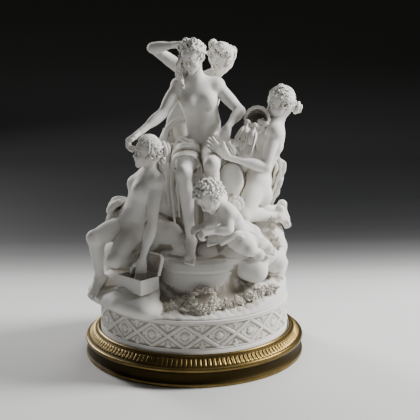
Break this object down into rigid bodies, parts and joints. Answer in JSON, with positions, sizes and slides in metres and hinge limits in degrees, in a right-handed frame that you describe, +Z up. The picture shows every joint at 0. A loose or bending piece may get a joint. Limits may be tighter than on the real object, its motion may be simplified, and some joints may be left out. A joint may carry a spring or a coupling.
{
  "type": "bisque figure group on a gilt bronze stand",
  "caption": "White bisque porcelain group of a seated goddess with attendants and a winged child on cloud, on a lattice-banded drum plinth in a gilt bronze ring stand.",
  "frame": {"origin": "centre of the underside of the round stand", "axes": "+Z up through the plinth, -Y towards the front of the group, +X towards the viewer's right"},
  "size_m": [0.28, 0.28, 0.4017],
  "materials": {
    "bisque": "unglazed warm white bisque porcelain, matt, with brownish dust in the hollows",
    "gilt_bronze": "chased and gilt bronze, satin, darker in the hollows"
  },
  "bodies": {
    "root": {"figure_group": "bisque", "drum_plinth": "bisque", "bronze_stand": "gilt_bronze"}
  },
  "joints": []
}
